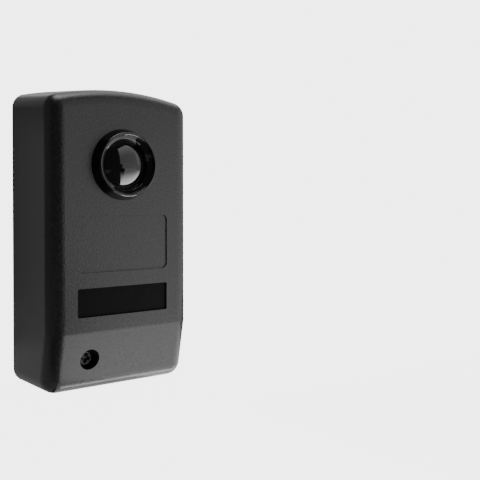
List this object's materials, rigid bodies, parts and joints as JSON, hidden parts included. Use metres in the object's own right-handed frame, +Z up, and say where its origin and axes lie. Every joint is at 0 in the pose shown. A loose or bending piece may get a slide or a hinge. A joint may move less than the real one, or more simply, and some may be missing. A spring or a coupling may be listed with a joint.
{
  "type": "gate photocell",
  "caption": "Surface-mounted infrared gate photocell: arched black case with a ringed lens, dark indicator window and sloped foot, on a screwed back plate with a rear cable inlet.",
  "frame": {"origin": "middle of the wall face of the back plate, on the wall plane", "axes": "+Y into the wall, -Y the way the lens looks, +Z up, +X to the right seen from the front"},
  "size_m": [0.0576, 0.0364, 0.11],
  "materials": {
    "case_plastic": "fine spark-eroded black",
    "plate_plastic": "moulded black",
    "ring_plastic": "polished black",
    "lens_filter": "polished infrared-passing black",
    "window_filter": "smoked, half gloss",
    "seal_rubber": "matt",
    "screw_steel": "blackened",
    "board_laminate": "solder mask over glass laminate",
    "component_black": "moulded epoxy",
    "relay_case": "moulded",
    "terminal_plastic": "moulded",
    "plated_metal": "nickel plated",
    "varistor_coat": "dipped epoxy",
    "capacitor_sleeve": "shrunk sleeve",
    "resistor_coat": "lacquered",
    "lamp_lens": "tinted epoxy"
  },
  "bodies": {
    "root": {"front_cover": "case_plastic", "back_plate": "plate_plastic", "cover_seal": "seal_rubber", "lens_ring": "ring_plastic", "lens": "lens_filter", "lens_seal": "seal_rubber", "lens_retainer": "component_black", "indicator_window": "window_filter", "cover_screw": "screw_steel", "screw_washer": "seal_rubber", "cable_grommet": "seal_rubber", "circuit_board": "board_laminate", "board_screws": "plated_metal", "photodiode": "lens_filter", "diode_holder": "component_black", "indicator_lamp": "lamp_lens", "terminal_block": "terminal_plastic", "terminal_clamps": "plated_metal", "terminal_screws": "plated_metal", "relay": "relay_case", "varistor": "varistor_coat", "filter_capacitor": "capacitor_sleeve", "small_capacitors": "capacitor_sleeve", "voltage_regulator": "component_black", "decoder_chip": "component_black", "rectifier_diodes": "component_black", "resistors": "resistor_coat"}
  },
  "joints": []
}
